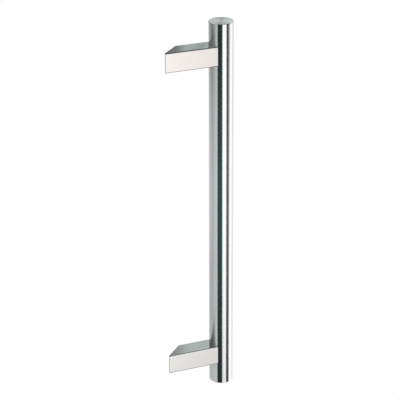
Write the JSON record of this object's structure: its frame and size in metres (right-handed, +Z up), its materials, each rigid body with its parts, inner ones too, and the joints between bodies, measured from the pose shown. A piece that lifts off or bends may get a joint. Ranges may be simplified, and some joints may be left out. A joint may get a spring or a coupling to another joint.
{
  "type": "entry door pull",
  "caption": "Offset entry door pull: a straight round bar on square supports that are mitred to the door and tapped for bolts through it.",
  "frame": {"origin": "on the door's face, midway between the two fixing holes", "axes": "+Z up along the bar, +Y into the door, +X along the door to the side where the bar stands"},
  "size_m": [0.0766, 0.061, 0.48],
  "materials": {
    "bar_steel": "satin, ground round the bar",
    "cap_steel": "turned",
    "support_steel": "satin, brushed lengthwise",
    "fastener_steel": "plain"
  },
  "bodies": {
    "root": {"grip_tube": "bar_steel", "upper_end_cap": "cap_steel", "lower_end_cap": "cap_steel", "upper_support": "support_steel", "lower_support": "support_steel", "saddle_washers": "fastener_steel", "support_screws": "fastener_steel"}
  },
  "joints": []
}
